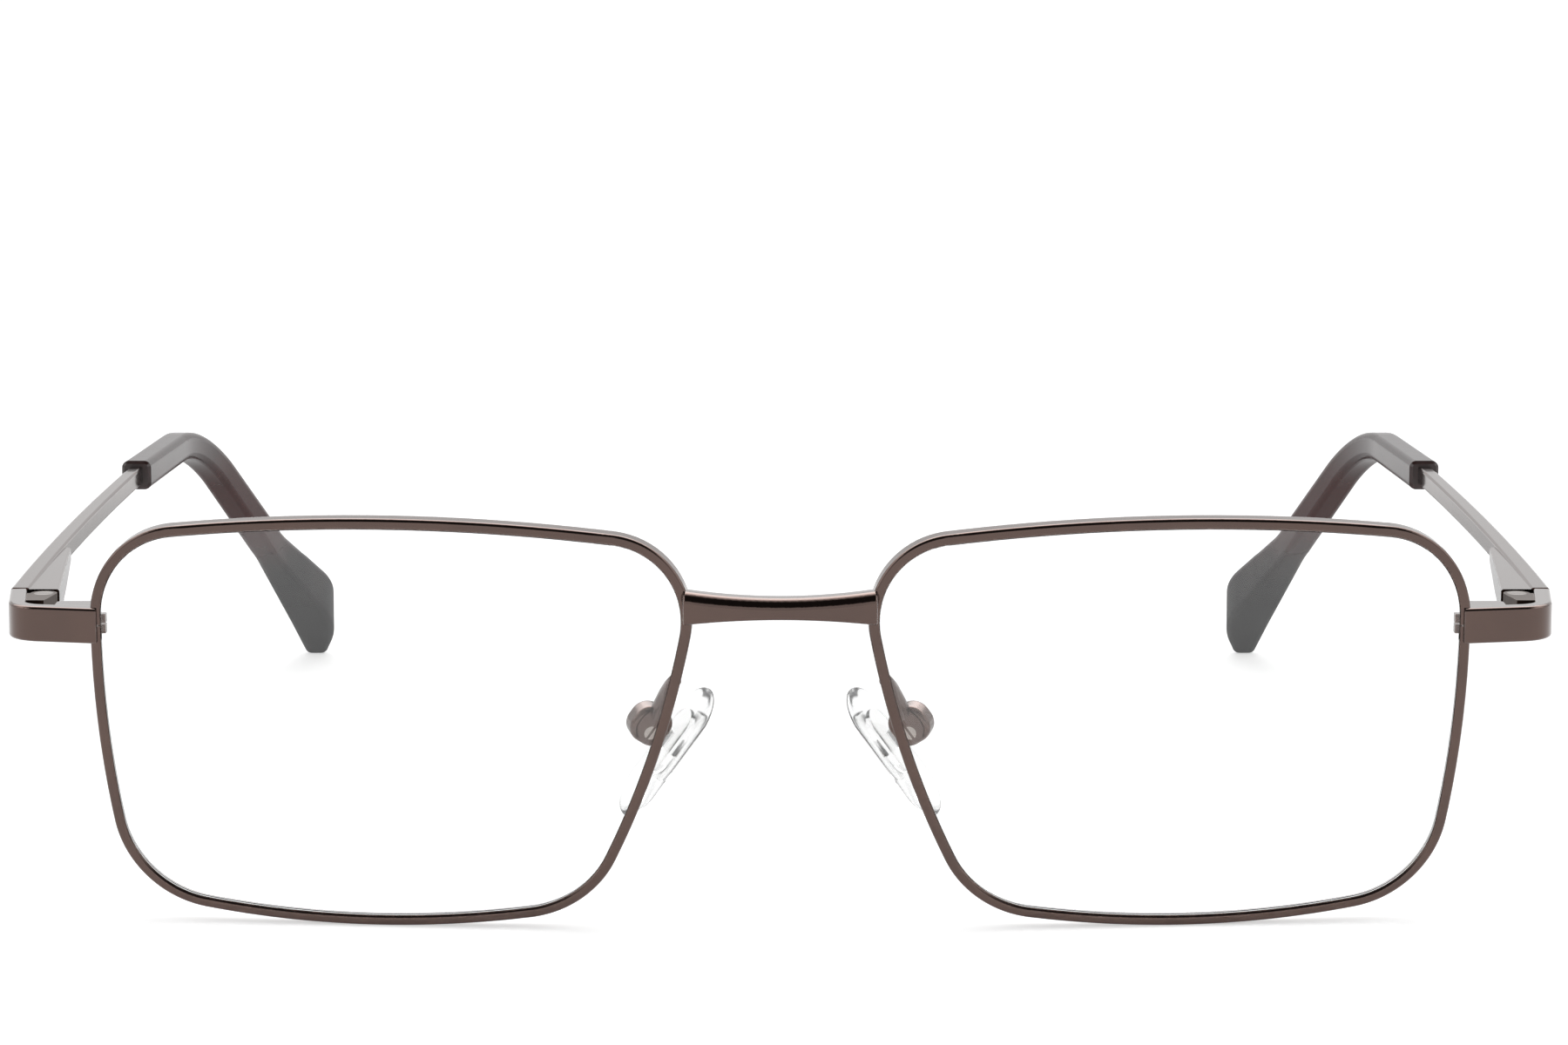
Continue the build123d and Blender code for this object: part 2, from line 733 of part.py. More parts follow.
with BuildPart() as spring:
    with BuildLine() as coil:
        for quarter in range(4 * spring_turns):
            first, last = coil_point(quarter), coil_point(quarter + 1)
            leave, arrive = coil_heading(quarter), coil_heading(quarter + 1)
            span = last - first
            bend = leave + arrive
            spread = 4 - bend.dot(bend)
            reach = (sqrt(span.dot(bend)**2 + spread * span.dot(span)) - span.dot(bend)) / spread
            meet = (first + last + (leave - arrive) * reach) / 2
            TangentArc(first, meet, tangent=leave)
            TangentArc(meet, last, tangent=last - arrive * reach - first - leave * reach)
    with BuildSketch(Plane(origin=coil_point(0), z_dir=coil_heading(0))):
        Circle(spring_wire / 2)
    sweep(path=coil.wires()[0])

# Nose pad: a drop-shaped pad; local x looks forward, y up the pad and z at the nose
frontal = radians(pad_frontal)
splay = radians(pad_splay)
pad_down = Vector(sin(frontal), 0, -cos(frontal))
pad_across = Vector(sin(splay), cos(splay), 0)
pad_normal = pad_across.cross(pad_down).normalized()
pad_plane = Plane(
    origin=(pad_centre_out, front_y + pad_centre_back, pad_centre_level),
    x_dir=pad_normal.cross(pad_down),
    z_dir=pad_normal,
)
box_depth = pad_thickness / 2 + pad_box_gap + box_height / 2
pad_screw_depth = box_depth - pad_screw_drop
seat_plane = Plane(
    origin=pad_plane.from_local_coords(Vector(0, pad_seat_up, 0)),
    x_dir=pad_plane.y_dir,
    z_dir=pad_plane.x_dir,
)
with BuildPart() as pad_insert:
    with BuildSketch(pad_plane.offset(-insert_thickness / 2)):
        with Locations((0, pad_seat_up)):
            SlotOverall(insert_length, insert_width, rotation=90)
    extrude(amount=insert_thickness)
    with BuildSketch(seat_plane.offset(-tab_width / 2)):
        with Locations((0, -pad_screw_depth)):
            Circle(tab_length / 2)
        Rectangle(tab_length, pad_screw_depth, align=(Align.CENTER, Align.MAX))
    extrude(amount=tab_width)
    with BuildSketch(seat_plane.offset(-tab_width)):
        with Locations((0, -pad_screw_depth)):
            Circle(pad_screw_diameter / 2 + hinge_bore_clear)
    extrude(amount=2 * tab_width, mode=Mode.SUBTRACT)
with BuildPart() as nose_pad:
    with BuildSketch(pad_plane.offset(-pad_thickness / 2)) as pad_face:
        with BuildLine():
            top = CenterArc((0, pad_length / 2 - pad_top_radius), pad_top_radius, 0, 360)
            foot = CenterArc((0, pad_foot_radius - pad_length / 2), pad_foot_radius, 0, 360)
        make_hull()
    extrude(amount=pad_thickness)
    fillet(nose_pad.edges(), pad_round)
    add(pad_insert.part, mode=Mode.SUBTRACT)

# Pad arm: a wire from behind the rim to the box whose two cheeks hold the pad's tab
with BuildPart() as pad_screw:
    head_plane = Plane(
        origin=pad_plane.from_local_coords(Vector(box_width / 2, pad_seat_up, -pad_screw_depth)),
        x_dir=pad_plane.y_dir,
        z_dir=pad_plane.x_dir,
    )
    add(slotted_screw(
        head_plane, pad_screw_diameter, pad_screw_head, pad_screw_head_depth,
        box_width - 2 * pad_screw_head_depth,
    ))
arm_foot = eye_point(foot_x - rim_outer + rim_width / 2, arm_foot_level, rim_depth + arm_foot_behind)
arm_knee = arm_foot + Vector(arm_knee_out, arm_knee_back, -arm_knee_drop)
arm_elbow = arm_knee + Vector(arm_elbow_out, arm_elbow_back, -arm_elbow_drop)
box_middle = pad_plane.from_local_coords(Vector(0, pad_seat_up + box_rise, -box_depth))
seat_axis = Axis(seat_plane.origin, seat_plane.z_dir)
with BuildPart() as pad_arm:
    with BuildSketch(seat_plane.offset(-box_width / 2)):
        with Locations((box_rise, -box_depth)):
            RectangleRounded(box_length, box_height, box_round)
    extrude(amount=box_width)
    fillet(pad_arm.faces().filter_by(GeomType.PLANE).filter_by(seat_axis).edges(), box_edge_round)
    with BuildLine() as arm_line:
        Bezier(arm_foot, arm_knee, arm_elbow, box_middle)
    with BuildSketch(Plane(origin=arm_line.line @ 0, z_dir=arm_line.line % 0)):
        Circle(arm_diameter / 2)
    sweep(path=arm_line.wires()[0])
    with BuildSketch(seat_plane.offset(-tab_width / 2 - tab_clear)):
        with Locations((0, -pad_screw_depth - tab_length / 2 - tab_end_clear)):
            Rectangle(2 * box_length, box_height, align=(Align.CENTER, Align.MIN))
    extrude(amount=tab_width + 2 * tab_clear, mode=Mode.SUBTRACT)
    add(pad_screw.part, mode=Mode.SUBTRACT)
    add(rim.part, mode=Mode.SUBTRACT)

# Every side piece is written out for the right, and mirrored for the left
side_pieces = {
    "rim": rim,
    "lens": lens,
    "end_piece": end_piece,
    "closing_block_upper": closing_block_upper,
    "closing_block_lower": closing_block_lower,
    "rim_screw": rim_screw,
    "hinge_fork": hinge_fork,
    "hinge_screw": hinge_screw,
    "hinge_slider": slider,
    "spring_housing": housing,
    "hinge_bush": bush,
    "hinge_spring": spring,
    "slider_nut": nut,
    "temple": temple,
    "temple_tip": temple_tip,
    "pad_arm": pad_arm,
    "pad_screw": pad_screw,
    "pad_insert": pad_insert,
    "nose_pad": nose_pad,
}
bridge.part.label = "bridge"
export_step(bridge.part, "parts/bridge.step")
for piece_name, piece in side_pieces.items():
    piece.part.label = piece_name + "_right"
    export_step(piece.part, f"parts/{piece_name}_right.step")
    twin = mirror(piece.part, about=Plane.YZ, mode=Mode.PRIVATE)
    twin.label = piece_name + "_left"
    export_step(twin, f"parts/{piece_name}_left.step")
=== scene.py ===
"""Finishes, studio and camera for a pair of rectangular metal eyeglasses on a white table.

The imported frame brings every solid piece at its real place, in metres. Each class of a sub-assembly
dresses its pieces, and NosePads also makes the soft pads. All lengths are in metres.
"""

import logging
import math
from dataclasses import dataclass, field
from enum import Enum

import bmesh
import bpy
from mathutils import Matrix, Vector


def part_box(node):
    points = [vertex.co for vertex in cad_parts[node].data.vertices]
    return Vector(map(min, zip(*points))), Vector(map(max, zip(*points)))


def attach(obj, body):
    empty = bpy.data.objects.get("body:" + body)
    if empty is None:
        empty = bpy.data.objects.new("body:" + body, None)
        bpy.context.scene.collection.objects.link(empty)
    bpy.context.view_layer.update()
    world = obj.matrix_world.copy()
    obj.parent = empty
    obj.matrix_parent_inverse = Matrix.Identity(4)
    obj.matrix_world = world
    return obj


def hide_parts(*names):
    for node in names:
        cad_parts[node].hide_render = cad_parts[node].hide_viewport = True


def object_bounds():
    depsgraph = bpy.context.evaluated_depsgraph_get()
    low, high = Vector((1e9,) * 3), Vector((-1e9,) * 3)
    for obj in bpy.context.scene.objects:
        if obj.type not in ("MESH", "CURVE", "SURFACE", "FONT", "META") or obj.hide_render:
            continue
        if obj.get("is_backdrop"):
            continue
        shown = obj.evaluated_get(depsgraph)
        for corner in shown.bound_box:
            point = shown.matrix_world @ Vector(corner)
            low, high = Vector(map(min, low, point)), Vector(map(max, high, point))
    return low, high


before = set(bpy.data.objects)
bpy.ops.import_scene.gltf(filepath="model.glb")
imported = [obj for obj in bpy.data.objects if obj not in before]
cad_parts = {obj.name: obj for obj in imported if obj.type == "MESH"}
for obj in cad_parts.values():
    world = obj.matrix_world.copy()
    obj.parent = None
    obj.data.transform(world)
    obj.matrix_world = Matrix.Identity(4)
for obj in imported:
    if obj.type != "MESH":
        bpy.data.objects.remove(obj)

LOG = logging.getLogger("eyeglasses")
SIDES = {"left": -1, "right": 1}
MILLIMETRE = 0.001

Rgb = tuple[float, float, float]
Stretch = tuple[float, float, float]
Feed = bpy.types.NodeSocket | float | tuple[float, ...] | str | bool


def rgba(colour: Rgb) -> tuple[float, float, float, float]:
    """Gives a colour its full opacity."""
    return (*colour, 1.0)


class Graph:
    """A node tree that is filled one node at a time."""

    def __init__(self, tree: bpy.types.NodeTree) -> None:
        """Takes the tree that the nodes go into."""
        self.tree = tree

    def fill(self, node: bpy.types.Node, inputs: dict[str | int, Feed]) -> bpy.types.Node:
        """Sets or links a node's inputs.

        Args:
            node: The node.
            inputs: What each input takes: the output of another node, or a plain value.

        Returns:
            The same node.
        """
        for name, value in inputs.items():
            if isinstance(value, bpy.types.NodeSocket):
                self.tree.links.new(value, node.inputs[name])
            else:
                node.inputs[name].default_value = value
        return node

    def add(self, kind: str, inputs: dict[str | int, Feed], **settings: Feed) -> bpy.types.Node:
        """Adds one node.

        Args:
            kind: Blender's name for the type of node, without the words that all types start with.
            inputs: What each input takes: the output of another node, or a plain value.
            **settings: Properties of the node itself.

        Returns:
            The new node.
        """
        node = self.tree.nodes.new("ShaderNode" + kind)
        for name, value in settings.items():
            setattr(node, name, value)
        return self.fill(node, inputs)

    def maths(self, operation: str, *values: Feed, clamp: bool = False) -> bpy.types.NodeSocket:
        """Adds a sum of one, two or three values.

        Args:
            operation: Blender's name for the sum.
            *values: The numbers or outputs that go in.
            clamp: Whether the result stays between nothing and one.

        Returns:
            The output that carries the result.
        """
        return self.add("Math", dict(enumerate(values)), operation=operation, use_clamp=clamp).outputs[0]

    def product(self, *values: Feed) -> bpy.types.NodeSocket:
        """Multiplies two or more values in turn.

        Args:
            *values: The numbers or outputs that go in.

        Returns:
            The output that carries the product.
        """
        result = values[0]
        for value in values[1:]:
            result = self.maths("MULTIPLY", result, value)
        return result

    def ramp(
        self, value: Feed, start: float, end: float, low: float = 0.0, high: float = 1.0
    ) -> bpy.types.NodeSocket:
        """Adds a smooth step.

        Args:
            value: The number or output that is stepped.
            start: The value at which the step begins.
            end: The value at which the step ends.
            low: The result before the step.
            high: The result after it.

        Returns:
            The output that carries the step.
        """
        inputs = {"Value": value, "From Min": start, "From Max": end, "To Min": low, "To Max": high}
        return self.add("MapRange", inputs, interpolation_type="SMOOTHSTEP").outputs["Result"]

    def blend(self, share: Feed, first: Feed, second: Feed) -> bpy.types.NodeSocket:
        """Adds a mix of two colours.

        Args:
            share: How much of the second colour there is.
            first: The first colour or output.
            second: The second colour or output.

        Returns:
            The output that carries the mixed colour.
        """
        return self.add("Mix", {0: share, 6: first, 7: second}, data_type="RGBA").outputs[2]


class Effect(Enum):
    """The surface effects that several finishes share."""

    DRIFT = "tone_drift"
    GRAIN = "polish_grain"
    WEAR = "edge_wear"
    MARKS = "handling_marks"


class EffectShop:
    """Builds each shared effect once, as a node group with named inputs and outputs."""

    noise_average = 0.5
    patch_edges = (0.35, 0.65)
    line_detail = 2.0
    edge_samples = 4
    edge_likeness = (0.995, 0.90)
    break_size = 1.2 * MILLIMETRE
    break_edges = (0.35, 0.7)
    break_least = 0.2
    fine_size_share = 0.12
    fine_weight = 0.4

    def __init__(self) -> None:
        """Starts with no group built."""
        self.groups: dict[Effect, bpy.types.NodeTree] = {}
        self.builders = {
            Effect.DRIFT: self.build_drift,
            Effect.GRAIN: self.build_grain,
            Effect.WEAR: self.build_wear,
            Effect.MARKS: self.build_marks,
        }

    def place(self, graph: Graph, effect: Effect, inputs: dict[str, Feed]) -> bpy.types.Node:
        """Puts an effect into a material.

        Args:
            graph: The material's graph.
            effect: Which effect.
            inputs: The values of its inputs in this material.

        Returns:
            The group node.
        """
        if effect not in self.groups:
            self.groups[effect] = self.builders[effect](effect.value)
        node = graph.tree.nodes.new("ShaderNodeGroup")
        node.node_tree = self.groups[effect]
        return graph.fill(node, inputs)

    @staticmethod
    def open_group(
        name: str, inputs: dict[str, str], outputs: dict[str, str]
    ) -> tuple[Graph, bpy.types.Node, bpy.types.Node]:
        """Makes an empty group.

        Args:
            name: The group's name.
            inputs: Each input's name, and whether it is a Float, a Color or a Vector.
            outputs: The same for the outputs.

        Returns:
            The group's graph, its input node and its output node.
        """
        tree = bpy.data.node_groups.new(name, "ShaderNodeTree")
        for direction, sockets in (("INPUT", inputs), ("OUTPUT", outputs)):
            for label, kind in sockets.items():
                tree.interface.new_socket(name=label, in_out=direction, socket_type="NodeSocket" + kind)
        return Graph(tree), tree.nodes.new("NodeGroupInput"), tree.nodes.new("NodeGroupOutput")

    @staticmethod
    def noise(
        graph: Graph, size: Feed, stretch: Feed = (1.0, 1.0, 1.0), detail: float = 3.0
    ) -> bpy.types.NodeSocket:
        """Adds noise that is fixed to the piece.

        Args:
            graph: The graph that it goes into.
            size: How broad its patches are, in metres.
            stretch: How much closer together they lie along each axis.
            detail: How many finer layers it has.

        Returns:
            The output that carries the noise, about a half on average.
        """
        place = graph.add("TexCoord", {}).outputs["Object"]
        drawn = graph.add("VectorMath", {0: place, 1: stretch}, operation="MULTIPLY").outputs[0]
        scale = graph.maths("DIVIDE", 1.0, size)
        return graph.add("TexNoise", {"Vector": drawn, "Scale": scale, "Detail": detail}).outputs["Fac"]

    def build_drift(self, name: str) -> bpy.types.NodeTree:
        """Builds the slow change of tone from patch to patch.

        Args:
            name: The group's name.

        Returns:
            The finished group.
        """
        inputs = {"Base": "Color", "Other": "Color", "Patch Size": "Float", "Share": "Float"}
        graph, given, result = self.open_group(name, inputs, {"Color": "Color"})
        patches = graph.ramp(self.noise(graph, given.outputs["Patch Size"]), *self.patch_edges)
        share = graph.product(patches, given.outputs["Share"])
        colour = graph.blend(share, given.outputs["Base"], given.outputs["Other"])
        graph.fill(result, {"Color": colour})
        return graph.tree

    def build_grain(self, name: str) -> bpy.types.NodeTree:
        """Builds the fine lines that polishing leaves.

        Args:
            name: The group's name.

        Returns:
            The finished group.
        """
        inputs = {"Line Size": "Float", "Stretch": "Vector", "Depth": "Float"}
        graph, given, result = self.open_group(name, inputs, {"Height": "Float"})
        lines = self.noise(graph, given.outputs["Line Size"], given.outputs["Stretch"], self.line_detail)
        middle = graph.maths("SUBTRACT", lines, self.noise_average)
        graph.fill(result, {"Height": graph.product(middle, given.outputs["Depth"])})
        return graph.tree

    def build_wear(self, name: str) -> bpy.types.NodeTree:
        """Builds the rubbed look of sharp edges.

        Args:
            name: The group's name.

        Returns:
            The finished group.
        """
        inputs = {"Color": "Color", "Worn": "Color", "Reach": "Float", "Amount": "Float"}
        graph, given, result = self.open_group(name, inputs, {"Color": "Color"})
        reach = {"Radius": given.outputs["Reach"]}
        rounded = graph.add("Bevel", reach, samples=self.edge_samples).outputs["Normal"]
        plain = graph.add("NewGeometry", {}).outputs["Normal"]
        same = graph.add("VectorMath", {0: rounded, 1: plain}, operation="DOT_PRODUCT").outputs["Value"]
        edge = graph.ramp(same, *self.edge_likeness)
        breaks = graph.ramp(self.noise(graph, self.break_size), *self.break_edges, self.break_least)
        mask = graph.maths("MULTIPLY", graph.product(edge, breaks), given.outputs["Amount"], clamp=True)
        graph.fill(result, {"Color": graph.blend(mask, given.outputs["Color"], given.outputs["Worn"])})
        return graph.tree

    def build_marks(self, name: str) -> bpy.types.NodeTree:
        """Builds the faint marks of handling, which change how rough the surface is.

        Args:
            name: The group's name.

        Returns:
            The finished group.
        """
        inputs = {"Roughness": "Float", "Spread": "Float", "Mark Size": "Float"}
        graph, given, result = self.open_group(name, inputs, {"Roughness": "Float"})
        broad = self.noise(graph, given.outputs["Mark Size"])
        fine = self.noise(graph, graph.product(given.outputs["Mark Size"], self.fine_size_share))
        sum_of_both = graph.maths("ADD", broad, graph.product(fine, self.fine_weight))
        average = self.noise_average * (1 + self.fine_weight)
        change = graph.product(graph.maths("SUBTRACT", sum_of_both, average), given.outputs["Spread"])
        total = graph.maths("ADD", change, given.outputs["Roughness"], clamp=True)
        graph.fill(result, {"Roughness": total})
        return graph.tree


SHOP = EffectShop()


def new_material(label: str) -> tuple[Graph, bpy.types.Node]:
    """Starts a material.

    Args:
        label: The material's name.

    Returns:
        Its graph, and its surface shader, already joined to the output.
    """
    material = bpy.data.materials.new(label)
    material.use_nodes = True
    graph = Graph(material.node_tree)
    return graph, material.node_tree.nodes["Principled BSDF"]


def marked_roughness(graph: Graph, roughness: float, spread: float, size: float) -> bpy.types.NodeSocket:
    """Adds the marks of handling to a material.

    Args:
        graph: The material's graph.
        roughness: How rough its surface is on average.
        spread: How much the marks change that.
        size: How broad they are.

    Returns:
        The output that carries the roughness.
    """
    inputs = {"Roughness": roughness, "Spread": spread, "Mark Size": size}
    return SHOP.place(graph, Effect.MARKS, inputs).outputs["Roughness"]


def grained_normal(graph: Graph, size: float, stretch: Stretch, depth: float) -> bpy.types.NodeSocket:
    """Adds the fine lines of polishing to a material.

    Args:
        graph: The material's graph.
        size: How far apart the lines lie.
        stretch: How much closer together they lie along each axis.
        depth: How deep they are.

    Returns:
        The output that carries the surface's direction.
    """
    grain = SHOP.place(graph, Effect.GRAIN, {"Line Size": size, "Stretch": stretch, "Depth": depth})
    height = {"Height": grain.outputs["Height"], "Strength": 1.0, "Distance": 1.0}
    return graph.add("Bump", height).outputs["Normal"]


@dataclass(frozen=True)
class MetalFinish:
    """Polished or plated metal, with fine polishing lines and slightly rubbed edges."""

    label: str
    base: Rgb
    other: Rgb
    worn: Rgb
    roughness: float = 0.15
    spread: float = 0.07
    mark_size: float = 4.0 * MILLIMETRE
    coat: float = 0.8
    coat_roughness: float = 0.08
    drift_share: float = 0.55
    patch_size: float = 7.0 * MILLIMETRE
    wear_amount: float = 0.5
    wear_reach: float = 0.16 * MILLIMETRE
    line_size: float = 0.35 * MILLIMETRE
    line_stretch: Stretch = (1.0, 1.0, 6.0)
    line_depth: float = 0.00025 * MILLIMETRE

    def material(self) -> bpy.types.Material:
        """Builds the material.

        Returns:
            The material.
        """
        graph, shader = new_material(self.label)
        drift = SHOP.place(graph, Effect.DRIFT, {
            "Base": rgba(self.base), "Other": rgba(self.other),
            "Patch Size": self.patch_size, "Share": self.drift_share,
        })
        wear = SHOP.place(graph, Effect.WEAR, {
            "Color": drift.outputs["Color"], "Worn": rgba(self.worn),
            "Reach": self.wear_reach, "Amount": self.wear_amount,
        })
        graph.fill(shader, {
            "Base Color": wear.outputs["Color"],
            "Roughness": marked_roughness(graph, self.roughness, self.spread, self.mark_size),
            "Normal": grained_normal(graph, self.line_size, self.line_stretch, self.line_depth),
            "Metallic": 1.0,
            "Coat Weight": self.coat,
            "Coat Roughness": self.coat_roughness,
        })
        return bpy.data.materials[self.label]


@dataclass(frozen=True)
class ClearFinish:
    """A see-through solid, such as an organic lens or soft silicone."""

    label: str
    tint: Rgb
    roughness: float
    spread: float
    ior: float
    shine: float
    mark_size: float = 6.0 * MILLIMETRE
    ripple_size: float = 3.0 * MILLIMETRE
    ripple_stretch: Stretch = (1.0, 1.0, 1.0)
    ripple_depth: float = 0.0

    def material(self) -> bpy.types.Material:
        """Builds the material.

        Returns:
            The material.
        """
        graph, shader = new_material(self.label)
        graph.fill(shader, {
            "Roughness": marked_roughness(graph, self.roughness, self.spread, self.mark_size),
            "Normal": grained_normal(graph, self.ripple_size, self.ripple_stretch, self.ripple_depth),
            "Base Color": rgba(self.tint),
            "IOR": self.ior,
            "Specular IOR Level": self.shine,
            "Transmission Weight": 1.0,
        })
        return bpy.data.materials[self.label]


@dataclass(frozen=True)
class AcetateFinish:
    """Polished dark acetate: streaked, with a painted reddish glow, and darker and greyer towards the
    toe.

    The reddish glow is painted light that stands in for light shining through the acetate. The toe colour
    is darker than the acetate itself: painted shade where the tip meets the table. Both are placed by the
    height on the tip, from nothing at its lowest point to one at its top.
    """

    label: str
    dark: Rgb
    streak: Rgb
    # painted light: a reddish colour that stands in for light shining through the acetate
    painted_glow: Rgb
    # painted shade: the toe colour is darker than the acetate itself, standing in for the shade where the
    # tip meets the table
    toe_with_painted_shade: Rgb
    roughness: float = 0.18
    toe_roughness: float = 0.42
    spread: float = 0.08
    mark_size: float = 5.0 * MILLIMETRE
    shine: float = 0.5
    coat: float = 0.08
    coat_roughness: float = 0.12
    streak_size: float = 2.2 * MILLIMETRE
    streak_share: float = 0.8
    cloud_size: float = 6.0 * MILLIMETRE
    cloud_drift: float = 0.35
    # where on the tip's height the painted glow of light through the acetate rises and falls
    painted_glow_rise: tuple[float, float] = (0.35, 0.62)
    painted_glow_fall: tuple[float, float] = (0.72, 0.98)
    painted_glow_least: float = 0.25
    painted_glow_share: float = 0.75
    # where on the tip's height the darker, neutral toe colour of painted shade takes over
    painted_toe_shade_edges: tuple[float, float] = (0.60, 0.22)
    grain_size: float = 0.8 * MILLIMETRE
    grain_stretch: Stretch = (1.0, 1.0, 1.0)
    grain_depth: float = 0.004 * MILLIMETRE

    def drifted_height(self, graph: Graph) -> bpy.types.NodeSocket:
        """Finds the height on the tip, with a drift that breaks up level borders.

        Args:
            graph: The material's graph.

        Returns:
            The output that carries the height.
        """
        place = graph.add("TexCoord", {}).outputs["Object"]
        level = graph.add("SeparateXYZ", {0: place}).outputs["Z"]
        low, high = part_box("temple_tip_right")
        height = graph.maths("DIVIDE", graph.maths("SUBTRACT", level, low.z), high.z - low.z)
        cloud = EffectShop.noise(graph, self.cloud_size)
        centred = graph.maths("SUBTRACT", cloud, EffectShop.noise_average)
        return graph.maths("ADD", height, graph.product(centred, self.cloud_drift))

    def material(self) -> bpy.types.Material:
        """Builds the material.

        Returns:
            The material.
        """
        graph, shader = new_material(self.label)
        streaks = SHOP.place(graph, Effect.DRIFT, {
            "Base": rgba(self.dark), "Other": rgba(self.streak),
            "Patch Size": self.streak_size, "Share": self.streak_share,
        })
        height = self.drifted_height(graph)
        # painted light: the reddish glow of light through the acetate, painted by height on the tip
        rise = graph.ramp(height, *self.painted_glow_rise)
        fall = graph.ramp(height, *self.painted_glow_fall, 1.0, self.painted_glow_least)
        with_painted_glow = graph.blend(
            graph.product(rise, fall, self.painted_glow_share), streaks.outputs["Color"], rgba(self.painted_glow)
        )
        # painted shade: darker, neutral colour towards the bottom of the tip, near the table; the same
        # share also makes the toe rougher
        painted_toe_shade = graph.ramp(height, *self.painted_toe_shade_edges)
        marked = marked_roughness(graph, self.roughness, self.spread, self.mark_size)
        graph.fill(shader, {
            "Base Color": graph.blend(painted_toe_shade, with_painted_glow, rgba(self.toe_with_painted_shade)),
            "Roughness": graph.maths("MULTIPLY_ADD", painted_toe_shade, self.toe_roughness, marked),
            "Normal": grained_normal(graph, self.grain_size, self.grain_stretch, self.grain_depth),
            "Specular IOR Level": self.shine,
            "Coat Weight": self.coat,
            "Coat Roughness": self.coat_roughness,
        })
        return bpy.data.materials[self.label]


class Finish(Enum):
    """Every finish on the eyeglasses."""

    PLATED = MetalFinish(
        "plated_brown_gunmetal",
        base=(0.110, 0.067, 0.054), other=(0.092, 0.057, 0.047), worn=(0.34, 0.30, 0.28),
    )
    ARM = MetalFinish(
        "plated_pad_arm",
        base=(0.110, 0.067, 0.054), other=(0.070, 0.043, 0.036), worn=(0.34, 0.30, 0.28),
        roughness=0.18, wear_amount=0.0, line_depth=0.0001 * MILLIMETRE,
    )
    # painted shade: a darker copy of the plated brown for the hinge fork and slider, standing in for the
    # shade of the hinge recess; it is also rougher and uncoated
    SHADED_JOINT = MetalFinish(
        "dull_brown_joint",
        base=(0.085, 0.062, 0.050), other=(0.050, 0.036, 0.030), worn=(0.28, 0.23, 0.20),
        roughness=0.36, coat=0.0,
    )
    BARE = MetalFinish(
        "polished_nickel",
        base=(0.42, 0.38, 0.35), other=(0.36, 0.33, 0.31), worn=(0.6, 0.57, 0.54),
        roughness=0.22, coat=0.0,
    )
    SPRING = MetalFinish(
        "drawn_spring_steel",
        base=(0.45, 0.44, 0.43), other=(0.38, 0.37, 0.36), worn=(0.6, 0.6, 0.6),
        roughness=0.3, coat=0.0,
    )
    LENS = ClearFinish(
        "clear_lens", tint=(0.995, 0.998, 0.996), roughness=0.0, spread=0.0, ior=1.5, shine=0.1,
    )
    SILICONE = ClearFinish(
        "clear_silicone", tint=(0.955, 0.96, 0.96), roughness=0.12, spread=0.04, ior=1.41, shine=0.5,
    )
    INSERT = ClearFinish(
        "clear_pad_insert", tint=(0.96, 0.96, 0.955), roughness=0.05, spread=0.04, ior=1.49, shine=0.5,
        ripple_depth=0.0005 * MILLIMETRE,
    )
    ACETATE = AcetateFinish(
        "dark_brown_acetate",
        dark=(0.018, 0.010, 0.009), streak=(0.029, 0.014, 0.013),
        # the reddish colour is a painted glow of light through the acetate; the toe colour is partly
        # painted shade near the table
        painted_glow=(0.078, 0.025, 0.023), toe_with_painted_shade=(0.008, 0.0078, 0.008),
    )


class Wardrobe:
    """Hands out each finish's material, built when it is first asked for."""

    def __init__(self) -> None:
        """Starts with no material built."""
        self.made: dict[Finish, bpy.types.Material] = {}

    def material(self, finish: Finish) -> bpy.types.Material:
        """Gives the material of a finish.

        Args:
            finish: The finish.

        Returns:
            Its material, which every piece of that finish shares.
        """
        if finish not in self.made:
            self.made[finish] = finish.value.material()
        return self.made[finish]

    def dress(self, node: str, finish: Finish) -> None:
        """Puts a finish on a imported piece.

        Args:
            node: The piece's name.
            finish: The finish that it gets.
        """
        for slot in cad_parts[node].material_slots:
            slot.material = self.material(finish)
        LOG.info("%s: %s", node, finish.value.label)

    def dress_pair(self, piece: str, finish: Finish) -> None:
        """Puts a finish on the left and the right one of a piece."""
        for side in SIDES:
            self.dress(f"{piece}_{side}", finish)


def new_piece(name: str, mesh: bpy.types.Mesh, material: bpy.types.Material) -> bpy.types.Object:
    """Makes a smooth-shaded object.

    Args:
        name: The piece's name.
        mesh: Its mesh, in the row frame.
        material: Its material.

    Returns:
        The object, linked into the scene.
    """
    piece = bpy.data.objects.new(name, mesh)
    bpy.context.scene.collection.objects.link(piece)
    mesh.materials.append(material)
    mesh.shade_smooth()
    return piece


@dataclass
class Front:
    """The rims with the bridge, the end pieces, the closing blocks and their screws."""

    wardrobe: Wardrobe
    plated: tuple[str, ...] = ("rim", "end_piece", "closing_block_upper", "closing_block_lower")

    def build(self) -> None:
        """Dresses every piece of the front."""
        self.wardrobe.dress("bridge", Finish.PLATED)
        for piece in self.plated:
            self.wardrobe.dress_pair(piece, Finish.PLATED)
        self.wardrobe.dress_pair("rim_screw", Finish.BARE)
        self.wardrobe.dress_pair("lens", Finish.LENS)


